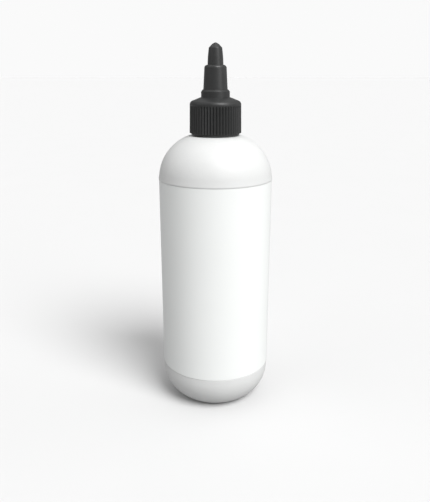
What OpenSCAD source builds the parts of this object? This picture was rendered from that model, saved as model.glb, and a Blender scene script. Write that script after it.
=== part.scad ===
// Pet shampoo squeeze bottle: round body with a domed shoulder and a rounded heel, a blank wrap
// label, and a ribbed screw cap that carries a twist-open spout.
// Millimetres, +Z up. The origin is the centre of the ring that the bottle stands on.

/* [Bottle] */
// Outer radius of the low bead at the foot of the shoulder, just above the label
body_r = 30.7; // [30:0.05:33]
// Wall thickness of the bottle
wall = 1; // [0.8:0.1:1.4]
// Radius of the long heel curve, seen from the side
heel_r = 20; // [16:0.5:22]
// Radius of the tighter curve between the heel and the base
foot_r = 8; // [5:0.5:10]
// Angle through which the heel curve turns before the foot curve takes over
heel_turn = 57; // [45:1:65]
// Width of the flat ring that the bottle stands on
ring_w = 2.6; // [2:0.1:4]
// Height of the hollow under the base
push_up = 2.4; // [1.5:0.1:4]
// Height at which the shoulder's dome starts
shoulder_z = 127.5; // [127.5:0.5:128]
// Radius of the shoulder's dome, seen from the side
shoulder_r = 24.2; // [24.1:0.05:24.5]

/* [Label] */
// Height of the label's lower edge
label_z = 21; // [20:0.5:24]
// Height of the label from edge to edge
label_h = 106.3; // [100:0.1:106.3]
// Thickness of the label film
label_t = 0.15; // [0.1:0.05:0.15]

/* [Neck] */
// Outer radius of the neck between its threads
neck_r = 10.75; // [10.7:0.01:10.8]
// Radius of the neck's mouth
mouth_r = 8.9; // [8:0.1:9.2]
// Height of the neck's sealing lip
lip_z = 165.5; // [165:0.1:165.5]
// Outer radius of the neck's thread
thread_r = 11.85; // [11.7:0.01:11.9]
// Rise of the neck's thread in one turn
pitch = 3.175; // [3.175:0.001:3.175]
// Turns of the neck's thread
thread_turns = 1.5; // [1:0.25:1.5]

/* [Cap] */
// Height of the skirt's lower edge
skirt_z = 150.8; // [150.8:0.1:151.2]
// Radius of the smooth band under the ribs
band_r = 12.75; // [12.7:0.05:12.9]
// Radius over the ribs at their lower end
rib_r = 13.68; // [13.6:0.01:13.8]
// Number of grip ribs
rib_count = 52; // [40:1:60]
// Inner radius of the skirt
skirt_bore_r = 12.1; // [12.05:0.05:12.15]
// Height of the roof's underside
roof_z = 166.5; // [166.5:0.1:166.6]
// Outer radius of the collar round the spout
collar_r = 7.48; // [7.46:0.02:7.7]
// Height of the collar's top edge
collar_z = 173.9; // [173.9:0.1:174.2]
// Outer radius of the chimney inside the spout
chimney_r = 4.4; // [4.3:0.05:4.4]
// Radius of the passage through the chimney
passage_r = 3.3; // [3:0.1:3.4]
// Radius of the pin that plugs the orifice
pin_r = 1.27; // [1.2:0.01:1.27]

/* [Spout] */
// Outer radius of the spout's barrel where it leaves the collar
barrel_low_r = 6.32; // [6.2:0.01:6.34]
// Outer radius of the barrel under the ledge's rounded corner
barrel_top_r = 5.76; // [5.6:0.02:5.9]
// Outer radius of the nozzle above the ledge
nozzle_low_r = 4.1; // [4:0.05:4.15]
// Outer radius of the nozzle below its bevel
nozzle_top_r = 3.43; // [3.4:0.01:3.6]
// Radius of the orifice
orifice_r = 1.3; // [1.3:0.01:1.32]
// Height to the top of the closing pin
top_z = 196.8; // [196.6:0.1:197]
// Rise of the spout's cam in one turn
cam_lead = 8; // [8:0.5:8]

/* [Hidden] */
$fn = 96;

arc_steps = 14;            // straight steps in a quarter of a curve
helix_steps = 30;          // rings of a thread in one turn
fit_gap = 0.02;            // air left between flat faces of pieces that move apart
bury = 0.4;                // depth to which a ridge's root is sunk into its wall

// Bottle: the straight panel that the label is wrapped round
label_inset = 0.2;         // depth of the label's face below the bead's
panel_r = body_r - label_inset - label_t;
panel_top = 0.1;           // air and slope at the panel's upper edge
groove = [0.12, 0.3];      // depth and height of the groove along the panel's lower edge

// Bottle: heel, foot and hollow base
heel_z = foot_r + (heel_r - foot_r) * sin(heel_turn);
foot_centre_r = panel_r - heel_r + (heel_r - foot_r) * cos(heel_turn);
ring_in_r = foot_centre_r - ring_w;
ring_edge = [0.6, 0.25];   // width and height of the standing ring's inner rounding
hollow_r = ring_in_r - 2.2;
hollow_z = push_up * 0.6;

// Bottle: dome, land under the cap, neck and lip
land_z = skirt_z - 0.5;
bead_rise = 0.25;          // height of the bead over the dome's widest circle
dome_r = body_r - bead_rise - shoulder_r;
dome_foot_turn = 2;
dome_turn = asin((land_z - shoulder_z) / shoulder_r);
inner_dome_r = panel_r - wall - dome_r;
inner_dome_turn = asin((land_z - wall - shoulder_z) / inner_dome_r);
neck_root = [[1.5, 0], [0.4, 0.1], [0, 0.5]];
lip_chamfer = 0.3;
throat_chamfer = 0.8;

// Threads of the neck and the cap
neck_root_w = 2.1;
neck_crest_w = 0.9;
cap_root_w = 1.9;
cap_crest_w = 0.7;
thread_top = 1.9;          // from the lip down to the middle of the neck thread's end
thread_z = lip_z - thread_top - pitch * thread_turns;
cap_crest_r = neck_r + 0.25;

// Cap: bands, ribs and roof
edge = 0.2;                // chamfer of the skirt's lower edge
rib_z0 = skirt_z + 1.05;
rib_z1 = 165.6;
rib_valley_r = 12.95;
rib_lean = 0.2;            // how much the rib crests draw in from foot to top
rib_half = 0.36;           // half of a rib's width at its root, as a share of the spacing
crest_half = 0.2;          // half of its width near the crest
crest_drop = 0.14;         // height of the crest's rounding
band_top_r = 13.47;
corner_z = 166.25;         // height at which the roof's rounded corner starts to turn inwards
corner_r = 2.2;
corner_turn = 68;
roof_top_z = 170.15;
collar_fillet = 0.5;

// Cap: collar, well, chimney and pin
collar_bevel = [0.98, 1];
lip_in_r = 6.42;
lip_t = 0.5;
well_r = 6.62;
well_z = 168.6;
chimney_z = 183.4;
chimney_chamfer = 0.3;
washer_in_r = passage_r + 3;
spoke_z = 180;
spoke_h = 2.6;
spoke_w = 1;
pin_foot = 0.5;            // how far the pin reaches below its spokes
pin_dome = 0.55;           // height of its rounded tip

// Cam ridges of the chimney and the spout
cam_root_w = 2.1;
cam_crest_w = 1.2;
cam_r = 4.9;
cam_z = 170.6;
cam_turns = 0.5;
lug_r = 4.55;
lug_z = 170.2;
lug_turns = 0.33;
lug_start = 72;

// Seal ring
seal_z0 = 177;
seal_z1 = 178.45;
seal_out_r = 5.08;
seal_edge = 0.2;

// Spout: bead, barrel, ledge, nozzle and bevelled tip
spout_z = well_z + 0.3;
bead_r = 6.54;
bead_h = 0.3;
spout_bore_r = 5.1;
barrel_bore_r = 4.6;
nozzle_bore_r = 2.6;
bore_step_z = seal_z1 + 0.05;
ledge_z = 186;
ledge_corner_r = 1.55;
nozzle_bend = [3.9, 190.1];
bevel_z = 194.3;
throat_z = ledge_z - 1.7;
tip_outline = [[3.36, 0.15], [1.75, 1.78], [1.52, 1.92]];
tip_h = 1.95;
orifice_z = bevel_z + 0.5;
cone_z = bevel_z - 1.1;

// Points of an arc about (cx, cz), from angle a0 to angle a1
function arc(cx, cz, r, a0, a1) =
    let (n = max(2, ceil(arc_steps * abs(a1 - a0) / 90)))
    [for (i = [0:n]) let (a = a0 + (a1 - a0) * i / n) [cx + r * cos(a), cz + r * sin(a)]];

// Turns a radius and height outline into a body of revolution
module lathe(outline) {
    rotate_extrude() polygon(outline);
}

// One ridge of a thread: a trapezoid swept along a helix, tapering away at both ends.
// root_r and crest_r are its radii, root_w and crest_w its widths along the axis.
module ridge(root_r, crest_r, root_w, crest_w, z, lead, turns, start) {
    n = ceil(helix_steps * turns);
    fade = 2;
    first = 0.3;
    outward = crest_r > root_r;
    function section(i) =
        let (
            share = min(1, (i + first) / fade, (n - i + first) / fade),
            a = start + 360 * turns * i / n,
            h = z + lead * turns * i / n,
            c = root_r + (crest_r - root_r) * share
        )
        [for (p = [[root_r, -root_w / 2], [c, -crest_w / 2], [c, crest_w / 2], [root_r, root_w / 2]])
            [p[0] * cos(a), p[0] * sin(a), h + p[1]]];
    function tri(a, b, c) = outward ? [a, b, c] : [a, c, b];
    sides = [for (i = [0:n - 1], k = [0:3])
        let (a = 4 * i + k, b = 4 * i + (k + 1) % 4)
        each [tri(a, b, a + 4), tri(b, b + 4, a + 4)]];
    last = 4 * n;
    ends = [tri(0, 2, 1), tri(0, 3, 2), tri(last, last + 1, last + 2), tri(last, last + 2, last + 3)];
    polyhedron(points = [for (i = [0:n]) each section(i)], faces = concat(sides, ends));
}

bottle_outside = concat(
    [[0, push_up], [hollow_r, hollow_z], [ring_in_r - ring_edge[0], ring_edge[1]], [ring_in_r, 0]],
    arc(foot_centre_r, foot_r, foot_r, -90, -heel_turn),
    arc(panel_r - heel_r, heel_z, heel_r, -heel_turn, 0),
    [[panel_r, label_z - groove[1]], [panel_r - groove[0], label_z - groove[1] / 2], [panel_r, label_z],
        [panel_r, label_z + label_h + fit_gap], [body_r, label_z + label_h + panel_top]],
    arc(dome_r, shoulder_z, shoulder_r, dome_foot_turn, dome_turn),
    [for (p = neck_root) [neck_r + p[0], land_z + p[1]]],
    [[neck_r, lip_z - lip_chamfer], [neck_r - lip_chamfer, lip_z]]
);
bottle_inside = concat(
    [[0, push_up + wall], [hollow_r, hollow_z + wall]],
    arc(foot_centre_r, foot_r, foot_r - wall, -90, -heel_turn),
    arc(panel_r - heel_r, heel_z, heel_r - wall, -heel_turn, 0),
    arc(dome_r, shoulder_z, inner_dome_r, 0, inner_dome_turn),
    [[mouth_r + throat_chamfer, land_z - wall], [mouth_r, land_z - wall + throat_chamfer]]
);

// Blow-moulded bottle with its neck thread
module bottle() color("white") {
    difference() {
        lathe(concat(bottle_outside, [[0, lip_z]]));
        lathe(concat(bottle_inside, [[mouth_r, lip_z + 1], [0, lip_z + 1]]));
    }
    ridge(neck_r - bury, thread_r, neck_root_w, neck_crest_w, thread_z, pitch, thread_turns, 0);
}

// Film label wrapped round the body's recessed panel
module label() color("whitesmoke")
    translate([0, 0, label_z])
        difference() {
            cylinder(r = panel_r + label_t, h = label_h);
            translate([0, 0, -1]) cylinder(r = panel_r, h = label_h + 2);
        }

// Foam washer between the neck's lip and the cap's roof
module cap_liner() color("gainsboro") {
    washer_z = lip_z + fit_gap;
    washer_h = roof_z - lip_z - 2 * fit_gap;
    translate([0, 0, washer_z])
        difference() {
            cylinder(r = neck_r + 0.15, h = washer_h);
            translate([0, 0, -1]) cylinder(r = washer_in_r, h = washer_h + 2);
        }
}

cap_shell = concat(
    [[passage_r, roof_z], [skirt_bore_r, roof_z], [skirt_bore_r, skirt_z + edge],
        [skirt_bore_r + edge, skirt_z], [band_r - edge, skirt_z], [band_r, skirt_z + edge], [band_r, rib_z0],
        [rib_valley_r, rib_z0], [rib_valley_r, rib_z1 - 0.3], [band_top_r, rib_z1 + 0.2]],
    arc(band_top_r - corner_r, corner_z, corner_r, 0, corner_turn),
    [[collar_r + collar_fillet, roof_top_z - collar_fillet / 2]],
    arc(collar_r + collar_fillet, roof_top_z + collar_fillet / 2, collar_fillet, -100, -180),
    [[collar_r, collar_z - collar_bevel[1]], [collar_r - collar_bevel[0], collar_z], [lip_in_r, collar_z],
        [lip_in_r, collar_z - lip_t], [well_r, collar_z - lip_t - 0.1], [well_r, well_z], [chimney_r, well_z],
        [chimney_r, chimney_z - chimney_chamfer], [chimney_r - chimney_chamfer, chimney_z],
        [passage_r, chimney_z]]
);

// Ring of vertical grip ribs with rounded crests
module ribs() {
    step = 360 / rib_count;
    height = rib_z1 - rib_z0;
    root_r = rib_valley_r - 0.2;
    flank_r = rib_r - crest_drop;
    outline = [for (i = [0:rib_count - 1], p = [[-rib_half, root_r], [-crest_half, flank_r], [0, rib_r],
            [crest_half, flank_r], [rib_half, root_r]])
        let (a = step * (i + p[0])) [p[1] * cos(a), p[1] * sin(a)]];
    intersection() {
        translate([0, 0, rib_z0]) linear_extrude(height = height) polygon(outline);
        difference() {
            translate([0, 0, rib_z0]) cylinder(r1 = rib_r, r2 = rib_r - rib_lean, h = height);
            translate([0, 0, rib_z0 - 1]) cylinder(r = rib_valley_r - 0.1, h = height + 2);
        }
    }
}

// Pin on three spokes that plugs the spout's orifice
module pin() {
    dome_z = top_z - pin_dome;
    lathe(concat([[0, spoke_z - pin_foot], [pin_r, spoke_z - pin_foot], [pin_r, dome_z]],
        [for (a = [30:30:90]) [pin_r * cos(a), dome_z + pin_dome * sin(a)]]));
    for (a = [0:120:240])
        rotate(a)
            translate([0, -spoke_w / 2, spoke_z])
                cube([(passage_r + chimney_r) / 2, spoke_w, spoke_h]);
}

// Ribbed screw cap with its inner thread, collar, chimney, pin and cams
module cap_base() color("#2b2b2c") {
    lathe(cap_shell);
    ribs();
    pin();
    ridge(skirt_bore_r + bury, cap_crest_r, cap_root_w, cap_crest_w, thread_z - pitch / 2, pitch,
        thread_turns, 0);
    for (a = [0, 180])
        ridge(chimney_r - bury, cam_r, cam_root_w, cam_crest_w, cam_z, cam_lead, cam_turns, a);
}

// Soft ring that seals the spout against the chimney
module spout_seal() color("dimgray") {
    seal_in_r = chimney_r + fit_gap;
    e = seal_edge;
    lathe([[seal_in_r, seal_z0 + e], [seal_in_r + e, seal_z0], [seal_out_r - e, seal_z0],
        [seal_out_r, seal_z0 + e], [seal_out_r, seal_z1 - e], [seal_out_r - e, seal_z1],
        [seal_in_r + e, seal_z1], [seal_in_r, seal_z1 - e]]);
}

spout_shape = concat(
    [[spout_bore_r, spout_z], [bead_r - 0.1, spout_z], [bead_r, spout_z + 0.1],
        [barrel_low_r, spout_z + bead_h], [barrel_low_r, collar_z + 0.2]],
    arc(barrel_top_r - ledge_corner_r, ledge_z - ledge_corner_r, ledge_corner_r, 0, 90),
    [[nozzle_low_r, ledge_z + 0.1], nozzle_bend, [nozzle_top_r, bevel_z]],
    [for (p = tip_outline) [p[0], bevel_z + p[1]]],
    [[orifice_r, bevel_z + tip_h], [orifice_r, orifice_z], [nozzle_bore_r, cone_z],
        [nozzle_bore_r, throat_z], [barrel_bore_r, throat_z], [barrel_bore_r, bore_step_z],
        [spout_bore_r, bore_step_z]]
);

// Twist-open spout with its inner cam lugs
module spout() color("#303031") {
    lathe(spout_shape);
    for (a = [0, 180])
        ridge(spout_bore_r + bury, lug_r, cam_root_w, cam_crest_w, lug_z, cam_lead, lug_turns, a + lug_start);
}

bottle();
label();
cap_liner();
cap_base();
spout_seal();
spout();
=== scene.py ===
"""Look of the shampoo bottle: detailed meshes, materials, floor, light and camera round the CAD frame."""
import math

import bmesh
import bpy
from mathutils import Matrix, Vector


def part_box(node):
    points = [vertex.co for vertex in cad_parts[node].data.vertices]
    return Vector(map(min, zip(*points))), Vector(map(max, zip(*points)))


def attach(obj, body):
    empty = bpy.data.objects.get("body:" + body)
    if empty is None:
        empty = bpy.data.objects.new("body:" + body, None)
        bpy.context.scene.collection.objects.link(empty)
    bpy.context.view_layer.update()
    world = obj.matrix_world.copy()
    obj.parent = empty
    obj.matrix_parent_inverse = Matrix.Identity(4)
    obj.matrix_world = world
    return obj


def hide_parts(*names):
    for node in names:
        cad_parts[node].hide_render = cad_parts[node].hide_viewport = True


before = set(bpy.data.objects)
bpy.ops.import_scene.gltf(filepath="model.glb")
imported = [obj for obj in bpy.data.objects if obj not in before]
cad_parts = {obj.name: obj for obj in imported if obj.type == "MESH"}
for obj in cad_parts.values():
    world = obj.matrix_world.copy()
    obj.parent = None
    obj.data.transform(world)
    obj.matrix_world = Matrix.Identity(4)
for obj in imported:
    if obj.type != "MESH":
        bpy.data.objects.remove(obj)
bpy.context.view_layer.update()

MM = 0.001
TURN = 2 * math.pi

# ---------------------------------------------------------------- sizes, from the frame
bottle_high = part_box("bottle")[1]
label_low, label_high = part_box("label")
washer_low, washer_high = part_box("cap_liner")
cap_low, cap_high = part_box("cap_base")
seal_low, seal_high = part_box("spout_seal")
spout_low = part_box("spout")[0]

BODY_R = bottle_high.x
LABEL_R = label_high.x
FILM = 0.15 * MM
PANEL_R = LABEL_R - FILM
WALL = 1 * MM
HEEL_R = 20 * MM
FOOT_R = 8 * MM
HEEL_TURN = 57
FOOT_CENTRE = PANEL_R - HEEL_R + (HEEL_R - FOOT_R) * math.cos(math.radians(HEEL_TURN))
RING_W = 2.6 * MM
PUSH_UP = 2.4 * MM
GROOVE = (0.2 * MM, 0.5 * MM)  # depth and height of the groove along the label's lower edge
LABEL_AIR = 0.01 * MM  # between the label's upper edge and the bottle
DOME_R = 24.2 * MM
EDGE_PROUD = 0.25 * MM  # how far the shoulder's lower edge stands out past the dome's arc
EDGE_HIGH = 0.7 * MM  # height of that edge's widest ring over the label
DOME_CENTRE = BODY_R - EDGE_PROUD - DOME_R  # distance of the dome's arc centre from the axis
INNER_DOME_R = PANEL_R - WALL - DOME_CENTRE
DOME_Z = label_high.z + 0.2 * MM
NECK_R = 10.75 * MM
MOUTH_R = 8.9 * MM
LIP_Z = bottle_high.z
THREAD_R = 11.85 * MM
PITCH = 3.175 * MM
THREAD_TURNS = 1.5
THREAD_LOW = LIP_Z - 1.9 * MM - PITCH * THREAD_TURNS
# section of a thread, cam or lug: (side, height) as shares of half its width and of its height
THREAD_SECTION = [(-1, 0), (-1, 0.28), (-1, 0.86), (-0.5, 1), (0, 1), (0.5, 1), (1, 0.86), (1, 0.28), (1, 0)]
NECK_FOOT = 0.5 * MM  # the dome ends this far below the skirt
SEAM_PROUD = 0.05 * MM  # height of the mould's parting line
SEAM_HALF = 0.2 * MM  # half of its width

OVERLAP = math.radians(9)  # how far the label's end lies over its start
OVERLAP_CLIMB = math.radians(2)  # the turn in which it climbs onto it
FILM_EDGE = 0.02 * MM

SKIRT_Z = cap_low.z
RIB_R = cap_high.x
RIB_COUNT = 52
RIB_PHASE = 0.25  # share of a rib's spacing by which the ribs are turned
RIB_DEPTH = 0.7 * MM
RIB_LEAN = 0.2 * MM
RIB_FOOT = SKIRT_Z + 1.05 * MM
RIB_TOP = SKIRT_Z + 15.1 * MM
BAND_R = 12.75 * MM
SKIRT_BORE = 12.1 * MM
WASHER_BORE = 6.3 * MM
RIM = 0.25 * MM  # rounding of the washer's and the seal's rims
ROOF_Z = washer_high.z + 0.02 * MM
CORNER_Z = SKIRT_Z + 15.45 * MM
CORNER_R = 2.2 * MM
CORNER_TURN = 68
ROOF_TOP = SKIRT_Z + 19.3 * MM
COLLAR_R = 7.48 * MM
COLLAR_Z = SKIRT_Z + 23.1 * MM
COLLAR_LIP = 0.5 * MM
WELL_R = 6.62 * MM
WELL_LIP_R = 6.5 * MM
WELL_Z = SKIRT_Z + 17.8 * MM
CHIMNEY_R = 4.4 * MM
CHIMNEY_Z = SKIRT_Z + 32.6 * MM
PASSAGE_R = 3.3 * MM
PIN_R = 1.27 * MM
PIN_LOW = SKIRT_Z + 28.7 * MM
PIN_TIP_R = 1.6 * MM
SPOKE = (1.0 * MM, 2.6 * MM)  # width and height
SPOKE_EDGE = 0.2 * MM
CAM_Z = WELL_Z + 2 * MM
CAM_LEAD = 8 * MM
CAM_R = 4.9 * MM
CAM_WIDTHS = (2.0 * MM, 1.2 * MM)  # at the root and at the crest

SPOUT_Z = spout_low.z
BEAD_R = 6.54 * MM
BARREL_R = 6.32 * MM
BARREL_TOP_R = 5.76 * MM
LEDGE_Z = SPOUT_Z + 17.1 * MM
LEDGE_CORNER = 1.55 * MM
NOZZLE_R = 4.1 * MM
NOZZLE_BEND = (3.9 * MM, SPOUT_Z + 21.2 * MM)
NOZZLE_TOP_R = 3.43 * MM
BEVEL_Z = SPOUT_Z + 25.4 * MM
TIP_Z = BEVEL_Z + 1.95 * MM
ORIFICE_R = 1.3 * MM
SPOUT_BORE = 5.1 * MM
BARREL_BORE = 4.6 * MM
NOZZLE_BORE = 2.6 * MM
THROAT_Z = LEDGE_Z - 1.7 * MM
LUG_R = 4.55 * MM
LUG_Z = WELL_Z + 1.6 * MM


# ---------------------------------------------------------------- mesh helpers
def arc(centre_r, centre_z, radius, start, stop, step=4):
    """Points (r, z) of an arc, angles in degrees from the +r direction."""
    count = max(2, math.ceil(abs(stop - start) / step))
    angles = [math.radians(start + (stop - start) * i / count) for i in range(count + 1)]
    return [(centre_r + radius * math.cos(a), centre_z + radius * math.sin(a)) for a in angles]


def rounded(corners, step=12):
    """Outline (r, z) through corners (r, z, fillet radius), each filleted where its radius isn't 0."""
    points = []
    for i, (r, z, radius) in enumerate(corners):
        here = Vector((r, z))
        if radius == 0 or i in (0, len(corners) - 1):
            points.append((r, z))
            continue
        before = (Vector(corners[i - 1][:2]) - here).normalized()
        after = (Vector(corners[i + 1][:2]) - here).normalized()
        half = before.angle(after) / 2
        inward = (before + after).normalized()
        centre = here + inward * (radius / math.sin(half))
        first = here + before * (radius / math.tan(half)) - centre
        last = here + after * (radius / math.tan(half)) - centre
        sweep = first.angle_signed(last)
        count = max(2, math.ceil(math.degrees(abs(sweep)) / step))
        for k in range(count + 1):
            turned = sweep * k / count
            c, s = math.cos(-turned), math.sin(-turned)
            points.append((centre.x + first.x * c - first.y * s, centre.y + first.x * s + first.y * c))
    return points


def even_angles(count):
    return [TURN * i / count for i in range(count)]


def make_object(name, vertices, faces, sharp=35):
    mesh = bpy.data.meshes.new(name)
    mesh.from_pydata(vertices, [], faces)
    mesh.validate()
    shell = bmesh.new()
    shell.from_mesh(mesh)
    bmesh.ops.recalc_face_normals(shell, faces=shell.faces)
    shell.to_mesh(mesh)
    shell.free()
    mesh.shade_smooth()
    mesh.set_sharp_from_angle(angle=math.radians(sharp))
    piece = bpy.data.objects.new(name, mesh)
    bpy.context.scene.collection.objects.link(piece)
    return piece


def lathe(name, outline, angles, ring_closed=False, radius_at=None, sharp=35):
    """Turns an outline of (r, z) about the axis. radius_at(i, r, z, angle) may vary its radius."""
    vertices, rings = [], []
    for i, (r, z) in enumerate(outline):
        if r < 1e-9:
            rings.append([len(vertices)] * len(angles))
            vertices.append((0, 0, z))
            continue
        start = len(vertices)
        for a in angles:
            radius = radius_at(i, r, z, a) if radius_at else r
            vertices.append((radius * math.cos(a), radius * math.sin(a), z))
        rings.append([start + k for k in range(len(angles))])
    if ring_closed:
        rings.append(rings[0])
    faces = []
    for lower, upper in zip(rings, rings[1:]):
        for k in range(len(angles)):
            n = (k + 1) % len(angles)
            corners = [lower[k], lower[n], upper[n], upper[k]]
            face = [c for j, c in enumerate(corners) if c not in corners[:j]]
            if len(face) > 2:
                faces.append(face)
    return make_object(name, vertices, faces, sharp)


def thread(name, root, crest, root_w, crest_w, z, lead, turns, start=0.0, per_turn=96):
    """Helical ridge with a rounded crest that dies into the wall at both ends."""
    steps = math.ceil(per_turn * turns)
    fade = per_turn / 9
    vertices, faces = [], []
    for i in range(steps + 1):
        angle = start + TURN * turns * i / steps
        share = min(1, i / fade, (steps - i) / fade)
        share = max(0.04, math.sin(share * math.pi / 2))
        for side, height in THREAD_SECTION:
            radius = root + (crest - root) * height * share
            half = (root_w + (crest_w - root_w) * height) / 2
            vertices.append((radius * math.cos(angle), radius * math.sin(angle),
                             z + lead * turns * i / steps + side * half))
    n = len(THREAD_SECTION)
    for i in range(steps):
        for k in range(n):
            a, b = i * n + k, i * n + (k + 1) % n
            face = [a, b, b + n, a + n]
            faces.append(face if crest > root else face[::-1])
    first, last = list(range(n)), [steps * n + k for k in range(n)]
    faces += [first[::-1], last] if crest > root else [first, last[::-1]]
    return make_object(name, vertices, faces)


def join(name, pieces):
    """Joins pieces into the first one and names it."""
    with bpy.context.temp_override(active_object=pieces[0], selected_editable_objects=pieces):
        bpy.ops.object.join()
    pieces[0].name = name
    return pieces[0]


# ---------------------------------------------------------------- the pieces
def bottle_angles():
    """Even steps, with closer ones beside the mould's two parting lines at +X and -X."""
    close = [k * SEAM_HALF / BODY_R for k in (-3, -2, -1, -0.5, 0, 0.5, 1, 2, 3)]
    angles = [a for a in even_angles(160) if min(a % math.pi, math.pi - a % math.pi) > close[-1] * 1.5]
    angles += [(side + c) % TURN for side in (0, math.pi) for c in close]
    return sorted(angles)


def seam_lift(angle, radius):
    """Height of the parting line's fine ridge at an angle round the axis, 0 away from it."""
    off = min(angle % math.pi, math.pi - angle % math.pi) * radius / SEAM_HALF
    return SEAM_PROUD * max(0, 1 - off * off) if off < 1 else 0


def bottle_outline():
    """Outline of the bottle from the base's middle up the outside, over the lip and down the inside."""
    heel_z = FOOT_R + (HEEL_R - FOOT_R) * math.sin(math.radians(HEEL_TURN))
    land_z = SKIRT_Z - NECK_FOOT
    dome_turn = math.degrees(math.asin((land_z - DOME_Z) / DOME_R))
    inner_turn = math.degrees(math.asin((land_z - WALL - DOME_Z) / INNER_DOME_R))
    dome_end = DOME_CENTRE + DOME_R * math.cos(math.radians(dome_turn))
    inner_end = DOME_CENTRE + INNER_DOME_R * math.cos(math.radians(inner_turn))
    ring_in = FOOT_CENTRE - RING_W
    outside = rounded([(0, PUSH_UP, 0), (ring_in - 5 * MM, PUSH_UP * 0.92, 6 * MM),
                       (ring_in - 1.4 * MM, PUSH_UP * 0.55, 1.2 * MM), (ring_in, 0, 0.5 * MM),
                       (FOOT_CENTRE, 0, 0)], 8)[:-1]
    outside += arc(FOOT_CENTRE, FOOT_R, FOOT_R, -90, -HEEL_TURN, 3)
    outside += arc(PANEL_R - HEEL_R, heel_z, HEEL_R, -HEEL_TURN, 0, 3)[1:]
    depth, tall = GROOVE
    shoulder = arc(DOME_CENTRE, DOME_Z, DOME_R, 6, dome_turn - 3, 3)
    outside += rounded([(PANEL_R, heel_z + 0.5 * MM, 0), (PANEL_R, label_low.z - tall, 0.05 * MM),
                        (PANEL_R - depth, label_low.z - tall / 2, 0.08 * MM), (PANEL_R, label_low.z, 0),
                        (PANEL_R, label_high.z + LABEL_AIR, 0),
                        (LABEL_R, label_high.z + 2 * LABEL_AIR, LABEL_AIR),
                        (BODY_R, label_high.z + EDGE_HIGH, 1 * MM), shoulder[0] + (0,)], 4)[1:-1]
    outside += shoulder
    outside += rounded([(dome_end, land_z, 0), (NECK_R, land_z + 0.1 * MM, 0.6 * MM),
                        (NECK_R, LIP_Z, 0.35 * MM), (MOUTH_R, LIP_Z, 0.25 * MM),
                        (MOUTH_R, land_z - WALL, 1 * MM), (inner_end, land_z - WALL, 0)])
    inside = arc(FOOT_CENTRE, FOOT_R, FOOT_R - WALL, -90, -HEEL_TURN)
    inside += arc(PANEL_R - HEEL_R, heel_z, HEEL_R - WALL, -HEEL_TURN, 0)[1:]
    inside += arc(DOME_CENTRE, DOME_Z, INNER_DOME_R, 0, inner_turn)
    return outside + inside[::-1] + [(ring_in - 1.5 * MM, PUSH_UP + WALL), (0, PUSH_UP + WALL)]


def make_bottle():
    """Blow-moulded body with its parting lines, neck thread and pinch-off line."""
    outline = bottle_outline()
    lip_index = max(range(len(outline)), key=lambda i: outline[i][1])

    def radius_at(i, r, z, angle):
        on_outside = i < lip_index and z > 0.2 * MM
        return r + seam_lift(angle, r) * min(1, r / NECK_R) if on_outside else r

    body = lathe("bottle_body", outline, bottle_angles(), radius_at=radius_at)
    neck_thread = thread("neck_thread", NECK_R - 0.25 * MM, THREAD_R, 2.1 * MM, 1.1 * MM, THREAD_LOW,
                         PITCH, THREAD_TURNS)
    return join("bottle_body", [body, neck_thread, make_pinch_line()])


def make_pinch_line():
    """The blow mould's pinch-off line: a low tapered bar under the base, along the parting plane."""
    length, height, half, steps = FOOT_CENTRE - 4 * MM, 0.35 * MM, 0.45 * MM, 40
    base = PUSH_UP + 0.2 * MM
    vertices, faces = [], []
    for i in range(steps + 1):
        x = -length + 2 * length * i / steps
        taper = math.sqrt(max(0.02, 1 - (x / length) ** 2))
        crest = PUSH_UP - height * taper
        for y, z in ((-half, base), (-half * 0.6, crest), (half * 0.6, crest), (half, base)):
            vertices.append((x, y * taper, z))
    for i in range(steps):
        for k in range(4):
            a, b = 4 * i + k, 4 * i + (k + 1) % 4
            faces.append([a, a + 4, b + 4, b])
    faces += [[0, 1, 2, 3], [4 * steps + k for k in (3, 2, 1, 0)]]
    return make_object("pinch_line", vertices, faces)


def make_label():
    """Film wound once round the panel, its last few millimetres lying over its first, at the back."""
    steps, levels = 220, 24
    start = TURN / 4
    tall = label_high.z - label_low.z
    heights = [label_low.z, label_low.z + FILM_EDGE]
    heights += [label_low.z + tall * k / levels for k in range(1, levels)]
    heights += [label_high.z - FILM_EDGE, label_high.z]
    vertices, faces = [], []
    for i in range(steps + 1):
        turned = (TURN + OVERLAP) * i / steps
        climb = max(0, min(1, (turned - TURN + OVERLAP_CLIMB) / OVERLAP_CLIMB))
        inner = PANEL_R + FILM * climb * climb * (3 - 2 * climb)
        c, s = math.cos(start + turned), math.sin(start + turned)
        for z in heights:
            outer = inner + FILM - (FILM_EDGE if z in (heights[0], heights[-1]) else 0)
            vertices.append((outer * c, outer * s, z))
        vertices += [(inner * c, inner * s, z) for z in reversed(heights)]
    n = 2 * len(heights)
    for i in range(steps):
        for k in range(n):
            a, b = i * n + k, i * n + (k + 1) % n
            faces.append([a, a + n, b + n, b])
    faces += [list(range(n)), [steps * n + k for k in reversed(range(n))]]
    return make_object("label_film", vertices, faces)


def make_ring(name, inner, outer, low, high, rim, count):
    """Ring with softly rounded rims."""
    middle = (inner, (low + high) / 2, 0)
    outline = rounded([middle, (inner, low, rim), (outer, low, rim), (outer, high, rim),
                       (inner, high, rim), middle])[:-1]
    return lathe(name, outline, even_angles(count), ring_closed=True)


def make_washer():
    return make_ring("cap_washer", WASHER_BORE, washer_high.x, washer_low.z, washer_high.z, RIM, 96)


def make_seal():
    return make_ring("seal_ring", CHIMNEY_R + 0.02 * MM, seal_high.x, seal_low.z, seal_high.z, RIM, 72)


def rib_carve(z):
    """How deep the valleys between ribs are at a height, from 0 to 1."""
    return max(0, min(1, (RIB_TOP - z) / (0.9 * MM))) ** 0.5


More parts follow.
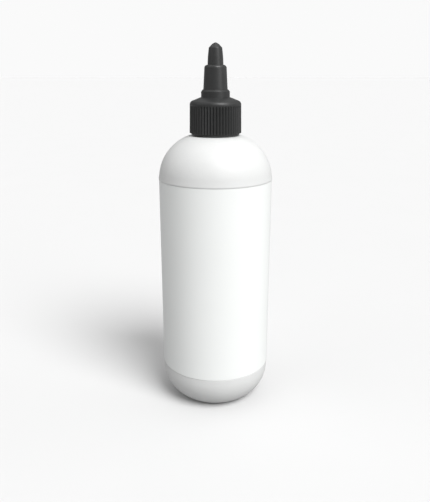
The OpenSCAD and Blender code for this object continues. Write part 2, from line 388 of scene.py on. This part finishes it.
def cap_outline():
    """The cap's outline in three runs: skirt below the ribs, the ribs, and roof, collar and chimney."""
    below = rounded([(SKIRT_BORE, SKIRT_Z + 1 * MM, 0), (SKIRT_BORE, SKIRT_Z, 0.2 * MM),
                     (BAND_R, SKIRT_Z, 0.5 * MM), (BAND_R, RIB_FOOT, 0)])
    rib_rise = RIB_TOP - 1.3 * MM - RIB_FOOT
    ribs = [(RIB_R - 0.12 * MM, RIB_FOOT)]
    ribs += [(RIB_R - RIB_LEAN * k / 10, RIB_FOOT + 0.1 * MM + rib_rise * k / 10) for k in range(11)]
    ribs += [(RIB_R - RIB_LEAN, RIB_TOP - 1 * MM + 0.16 * MM * k) for k in range(8)]
    corner = arc(RIB_R - RIB_LEAN - CORNER_R, CORNER_Z, CORNER_R, 0, CORNER_TURN, 5)
    rim_r = WELL_LIP_R + 0.06 * MM
    upper = rounded([corner[-1] + (0,), (COLLAR_R + 0.25 * MM, ROOF_TOP - 0.1 * MM, 0.3 * MM),
                     (COLLAR_R, ROOF_TOP - 0.15 * MM, 0.05 * MM),
                     (COLLAR_R, COLLAR_Z - 1 * MM, 0.15 * MM), (rim_r, COLLAR_Z, 0.1 * MM),
                     (WELL_LIP_R, COLLAR_Z, 0.03 * MM), (WELL_LIP_R, COLLAR_Z - COLLAR_LIP, 0),
                     (WELL_R, COLLAR_Z - COLLAR_LIP - 0.1 * MM, 0), (WELL_R, WELL_Z, 0.3 * MM),
                     (CHIMNEY_R, WELL_Z, 0.3 * MM), (CHIMNEY_R, CHIMNEY_Z, 0.3 * MM),
                     (PASSAGE_R, CHIMNEY_Z, 0.2 * MM), (PASSAGE_R, ROOF_Z, 0.2 * MM),
                     (SKIRT_BORE, ROOF_Z, 0.4 * MM), (SKIRT_BORE, SKIRT_Z + 2 * MM, 0)])
    return below, ribs, corner + upper[1:]


def make_cap():
    """Ribbed screw cap with its inner thread and the two cams on its chimney."""
    below, ribs, above = cap_outline()
    first_rib, last_rib = len(below), len(below) + len(ribs)

    def radius_at(i, r, z, angle):
        if not first_rib <= i < last_rib:
            return r
        crest = (0.5 + 0.5 * math.cos(RIB_COUNT * angle + TURN * RIB_PHASE)) ** 0.8
        return r - RIB_DEPTH * rib_carve(z) * (1 - crest)

    shell = lathe("cap_shell", below + ribs + above, even_angles(RIB_COUNT * 12), ring_closed=True,
                  radius_at=radius_at)
    inner_thread = thread("cap_thread", SKIRT_BORE + 0.3 * MM, NECK_R + 0.25 * MM, 1.9 * MM, 0.8 * MM,
                          THREAD_LOW - PITCH / 2, PITCH, THREAD_TURNS)
    cams = [thread("cam", CHIMNEY_R - 0.2 * MM, CAM_R, *CAM_WIDTHS, CAM_Z, CAM_LEAD, 0.5, a)
            for a in (0, math.pi)]
    return join("cap_shell", [shell, inner_thread, *cams])


def make_pin():
    """The pin that plugs the orifice, on three spokes across the chimney."""
    top = cap_high.z
    tip = arc(0, top - PIN_TIP_R, PIN_TIP_R, 52, 90, 8)
    outline = rounded([(0, PIN_LOW, 0), (PIN_R, PIN_LOW, 0.3 * MM), (PIN_R, top - 0.5 * MM, 0.2 * MM),
                       tip[0] + (0,)]) + tip[1:-1] + [(0, top)]
    pin = lathe("closing_pin", outline, even_angles(48))
    wide, tall = SPOKE
    half, reach = wide / 2, (PASSAGE_R + CHIMNEY_R) / 2
    corners = [(half, 0), (half, tall), (-half, tall), (-half, 0)]
    section = rounded([(-half, 0, 0)] + [c + (SPOKE_EDGE,) for c in corners] + [(half, 0, 0)])[1:-1]
    n = len(section)
    spokes = []
    for k in range(3):
        c, s = math.cos(TURN * k / 3), math.sin(TURN * k / 3)
        vertices = [(x * c - y * s, x * s + y * c, PIN_LOW + 0.5 * MM + z) for x in (0, reach)
                    for y, z in section]
        faces = [[j, (j + 1) % n, (j + 1) % n + n, j + n] for j in range(n)]
        faces += [list(range(n))[::-1], [n + j for j in range(n)]]
        spokes.append(make_object(f"spoke_{k}", vertices, faces))
    return join("closing_pin", [pin, *spokes])


def make_spout():
    """Two-step nozzle, hollow down to its foot, with the two lugs that climb the cams."""
    step = seal_high.z + 0.05 * MM
    foot = rounded([(SPOUT_BORE, SPOUT_Z + 2 * MM, 0), (SPOUT_BORE, SPOUT_Z, 0.15 * MM),
                    (BEAD_R, SPOUT_Z, 0.1 * MM), (BEAD_R, SPOUT_Z + 0.25 * MM, 0.06 * MM),
                    (BARREL_R, SPOUT_Z + 0.45 * MM, 0.1 * MM), (BARREL_R, COLLAR_Z + 0.1 * MM, 0.1 * MM),
                    (BARREL_TOP_R, LEDGE_Z - LEDGE_CORNER, 0)], 9)
    ledge = arc(BARREL_TOP_R - LEDGE_CORNER, LEDGE_Z - LEDGE_CORNER, LEDGE_CORNER, 0, 82, 6)
    top = rounded([ledge[-1] + (0,), (NOZZLE_R, LEDGE_Z - 0.15 * MM, 0.05 * MM),
                   NOZZLE_BEND + (12 * MM,), (NOZZLE_TOP_R, BEVEL_Z, 0.35 * MM),
                   (1.6 * MM, TIP_Z - 0.07 * MM, 0.25 * MM), (ORIFICE_R, TIP_Z, 0.06 * MM),
                   (ORIFICE_R, BEVEL_Z + 0.5 * MM, 0), (NOZZLE_BORE, BEVEL_Z - 1.1 * MM, 0.3 * MM),
                   (NOZZLE_BORE, THROAT_Z, 0.2 * MM), (BARREL_BORE, THROAT_Z, 0.3 * MM),
                   (BARREL_BORE, step, 0.1 * MM), (SPOUT_BORE, step, 0.1 * MM),
                   (SPOUT_BORE, SPOUT_Z + 2.5 * MM, 0)], 9)
    barrel = lathe("spout_nozzle", foot + ledge[1:] + top[1:], even_angles(128), ring_closed=True)
    lugs = [thread("lug", SPOUT_BORE + 0.2 * MM, LUG_R, *CAM_WIDTHS, LUG_Z, CAM_LEAD, 0.33,
                   a + math.radians(72)) for a in (0, math.pi)]
    return join("spout_nozzle", [barrel, *lugs])


# ---------------------------------------------------------------- materials
def new_material(name):
    material = bpy.data.materials.new(name)
    material.use_nodes = True
    nodes = material.node_tree.nodes
    shader = next(n for n in nodes if n.type == "BSDF_PRINCIPLED")
    return material, nodes, material.node_tree.links, shader


def noise(nodes, links, scale, detail=3.0, roughness=0.5, stretch=(1, 1, 1)):
    """Noise in object space: scale is in cycles a metre."""
    coords = nodes.new("ShaderNodeTexCoord")
    mapping = nodes.new("ShaderNodeMapping")
    mapping.inputs["Scale"].default_value = stretch
    links.new(coords.outputs["Object"], mapping.inputs["Vector"])
    texture = nodes.new("ShaderNodeTexNoise")
    texture.inputs["Scale"].default_value = scale
    texture.inputs["Detail"].default_value = detail
    texture.inputs["Roughness"].default_value = roughness
    links.new(mapping.outputs["Vector"], texture.inputs["Vector"])
    return texture


def spread(nodes, links, value, low, high):
    """Maps a noise value, mostly between 0.3 and 0.7, onto low to high."""
    remap = nodes.new("ShaderNodeMapRange")
    remap.inputs["From Min"].default_value = 0.3
    remap.inputs["From Max"].default_value = 0.7
    remap.inputs["To Min"].default_value = low
    remap.inputs["To Max"].default_value = high
    links.new(value, remap.inputs["Value"])
    return remap.outputs["Result"]


def blend_colours(nodes, links, factor, one, two):
    mix = nodes.new("ShaderNodeMix")
    mix.data_type = "RGBA"
    mix.inputs["A"].default_value = (*one, 1)
    mix.inputs["B"].default_value = (*two, 1)
    links.new(factor, mix.inputs["Factor"])
    return mix.outputs["Result"]


def add_bump(nodes, links, shader, layers):
    """Chains bump layers, each (height output, depth in metres)."""
    normal = None
    for height, depth in layers:
        bump = nodes.new("ShaderNodeBump")
        bump.inputs["Strength"].default_value = 1.0
        bump.inputs["Distance"].default_value = depth
        links.new(height, bump.inputs["Height"])
        if normal:
            links.new(normal, bump.inputs["Normal"])
        normal = bump.outputs["Normal"]
    links.new(normal, shader.inputs["Normal"])


def bottle_plastic():
    """White blow-moulded polyethylene: waxy, with a faint orange peel and fine draw lines up the wall."""
    material, nodes, links, shader = new_material("bottle_plastic")
    clouds = noise(nodes, links, 45, 4)
    peel = noise(nodes, links, 900, 2, 0.45)
    draw = noise(nodes, links, 700, 2, 0.5, (1, 1, 0.03))
    scuff = noise(nodes, links, 160, 6, 0.7)
    tint = blend_colours(nodes, links, clouds.outputs["Fac"], (0.65, 0.655, 0.65), (0.69, 0.695, 0.69))
    links.new(tint, shader.inputs["Base Color"])
    links.new(spread(nodes, links, scuff.outputs["Fac"], 0.48, 0.56), shader.inputs["Roughness"])
    add_bump(nodes, links, shader, [(peel.outputs["Fac"], 0.012 * MM), (draw.outputs["Fac"], 0.008 * MM)])
    shader.inputs["IOR"].default_value = 1.53
    shader.inputs["Subsurface Weight"].default_value = 0.15
    shader.inputs["Subsurface Radius"].default_value = (1.0, 0.95, 0.9)
    shader.inputs["Subsurface Scale"].default_value = 1.5 * MM
    return material


def label_paper():
    """Blank white film label: smooth satin face with a very fine tooth and slow tension waves."""
    material, nodes, links, shader = new_material("label_film")
    clouds = noise(nodes, links, 30, 3)
    tooth = noise(nodes, links, 3500, 2, 0.6)
    waves = noise(nodes, links, 60, 1, 0.4, (1, 1, 0.25))
    tint = blend_colours(nodes, links, clouds.outputs["Fac"], (0.825, 0.84, 0.83), (0.85, 0.865, 0.855))
    links.new(tint, shader.inputs["Base Color"])
    links.new(spread(nodes, links, tooth.outputs["Fac"], 0.4, 0.5), shader.inputs["Roughness"])
    add_bump(nodes, links, shader, [(tooth.outputs["Fac"], 0.002 * MM), (waves.outputs["Fac"], 0.03 * MM)])
    shader.inputs["IOR"].default_value = 1.45
    return material


def black_plastic(name, tint, smooth):
    """Black polypropylene with the fine grain of an eroded mould and a few paler rubbed patches."""
    material, nodes, links, shader = new_material(name)
    grain = noise(nodes, links, 5200, 2, 0.6)
    patches = noise(nodes, links, 260, 5, 0.65)
    pale = tuple(1.5 * c for c in tint)
    links.new(blend_colours(nodes, links, patches.outputs["Fac"], tint, pale), shader.inputs["Base Color"])
    links.new(spread(nodes, links, patches.outputs["Fac"], smooth, smooth + 0.08), shader.inputs["Roughness"])
    add_bump(nodes, links, shader, [(grain.outputs["Fac"], 0.006 * MM), (patches.outputs["Fac"], 0.006 * MM)])
    shader.inputs["IOR"].default_value = 1.49
    return material


def washer_foam():
    """White closed-cell foam: small round cells, matte."""
    material, nodes, links, shader = new_material("liner_foam")
    coords = nodes.new("ShaderNodeTexCoord")
    cells = nodes.new("ShaderNodeTexVoronoi")
    cells.inputs["Scale"].default_value = 3200
    links.new(coords.outputs["Object"], cells.inputs["Vector"])
    tint = blend_colours(nodes, links, cells.outputs["Distance"], (0.62, 0.62, 0.6), (0.78, 0.78, 0.76))
    links.new(tint, shader.inputs["Base Color"])
    add_bump(nodes, links, shader, [(cells.outputs["Distance"], 0.05 * MM)])
    shader.inputs["Roughness"].default_value = 0.8
    return material


def seal_rubber():
    """Grey soft rubber with a powdery bloom."""
    material, nodes, links, shader = new_material("seal_rubber")
    bloom = noise(nodes, links, 900, 4, 0.6)
    tint = blend_colours(nodes, links, bloom.outputs["Fac"], (0.13, 0.13, 0.135), (0.2, 0.2, 0.2))
    links.new(tint, shader.inputs["Base Color"])
    links.new(spread(nodes, links, bloom.outputs["Fac"], 0.55, 0.7), shader.inputs["Roughness"])
    add_bump(nodes, links, shader, [(bloom.outputs["Fac"], 0.01 * MM)])
    return material


def floor_paint():
    """Pale seamless studio floor, which throws back less light than it shows, as a lifted backdrop does."""
    material, nodes, links, shader = new_material("studio_floor")
    mottle = noise(nodes, links, 12, 2)
    seen = blend_colours(nodes, links, mottle.outputs["Fac"], (0.685, 0.685, 0.685), (0.695, 0.695, 0.695))
    rays = nodes.new("ShaderNodeLightPath")
    paint = blend_colours(nodes, links, rays.outputs["Is Camera Ray"], (0.37, 0.37, 0.37), (1, 1, 1))
    links.new(seen, paint.node.inputs["B"])
    links.new(paint, shader.inputs["Base Color"])
    shader.inputs["Roughness"].default_value = 0.9
    shader.inputs["Specular IOR Level"].default_value = 0.0
    return material


# ---------------------------------------------------------------- stage, light and camera
def make_floor():
    """Square floor in metres, cut finer near the bottle."""
    half = 30.0
    steps = [-half, -3, -0.6, 0.6, 3, half]
    vertices = [(x, y, 0) for y in steps for x in steps]
    n = len(steps)
    faces = [[r * n + c, r * n + c + 1, (r + 1) * n + c + 1, (r + 1) * n + c]
             for r in range(n - 1) for c in range(n - 1)]
    floor = make_object("floor", vertices, faces)
    floor.data.materials.append(floor_paint())


def make_world(strength, camera_brightness):
    """Even white surround, seen by the camera at a brightness of its own."""
    world = bpy.data.worlds.new("studio")
    bpy.context.scene.world = world
    world.use_nodes = True
    nodes, links = world.node_tree.nodes, world.node_tree.links
    background = nodes["Background"]
    rays = nodes.new("ShaderNodeLightPath")
    level = nodes.new("ShaderNodeMix")
    level.inputs["A"].default_value = strength
    level.inputs["B"].default_value = camera_brightness
    links.new(rays.outputs["Is Camera Ray"], level.inputs["Factor"])
    links.new(level.outputs["Result"], background.inputs["Strength"])
    background.inputs["Color"].default_value = (1, 1, 1, 1)


def make_sun(name, azimuth, elevation, strength, angle):
    """Distant soft light. Azimuth is measured from the front (-Y) towards the right (+X)."""
    light = bpy.data.lights.new(name, "SUN")
    light.energy = strength
    light.angle = math.radians(angle)
    lamp = bpy.data.objects.new(name, light)
    a, e = math.radians(azimuth), math.radians(elevation)
    source = Vector((math.sin(a) * math.cos(e), -math.cos(a) * math.cos(e), math.sin(e)))
    lamp.rotation_euler = source.to_track_quat("Z", "Y").to_euler()
    bpy.context.scene.collection.objects.link(lamp)


def make_camera():
    """Camera in front of the bottle and above it. Its place is in units of the label's radius."""
    look_down = 17.436
    distance, height = 9.983, 5.268
    camera = bpy.data.cameras.new("camera")
    camera.lens = 40.49
    camera.sensor_width = 36
    eye = bpy.data.objects.new("camera", camera)
    eye.location = (-0.25 * MM, -distance * LABEL_R, label_low.z + height * LABEL_R)
    eye.rotation_euler = (math.radians(90 - look_down), 0, 0)
    bpy.context.scene.collection.objects.link(eye)
    bpy.context.scene.camera = eye


def place(piece, material, body, node):
    """Gives a piece its material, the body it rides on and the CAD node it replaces."""
    piece.data.materials.clear()
    piece.data.materials.append(material)
    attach(piece, body)
    if node:
        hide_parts(node)


cap_black = black_plastic("cap_plastic", (0.0165, 0.0170, 0.0170), 0.40)
# The spout uses the same black plastic as the cap, made paler and a little glossier: the extra paleness is a
# painted sheen that stands in for the highlight on the spout's barrel and nozzle.
spout_black_painted_sheen = black_plastic("spout_plastic", (0.0210, 0.0215, 0.0215), 0.36)
place(make_bottle(), bottle_plastic(), "bottle", "bottle")
place(make_label(), label_paper(), "bottle", "label")
place(make_washer(), washer_foam(), "liner", "cap_liner")
place(make_cap(), cap_black, "cap", "cap_base")
place(make_pin(), cap_black, "cap", None)
place(make_seal(), seal_rubber(), "seal", "spout_seal")
place(make_spout(), spout_black_painted_sheen, "spout", "spout")

make_floor()
make_world(0.28, 0.957)
make_sun("key", 36, 50, 3.2, 34)
make_sun("strip", 48, 10, 0.6, 36)
make_sun("fill", -75, 40, 0.45, 60)
make_sun("back", 180, 70, 0.5, 60)
make_sun("side", 105, 25, 0.25, 50)
make_camera()
bpy.context.scene.view_settings.view_transform = "Standard"
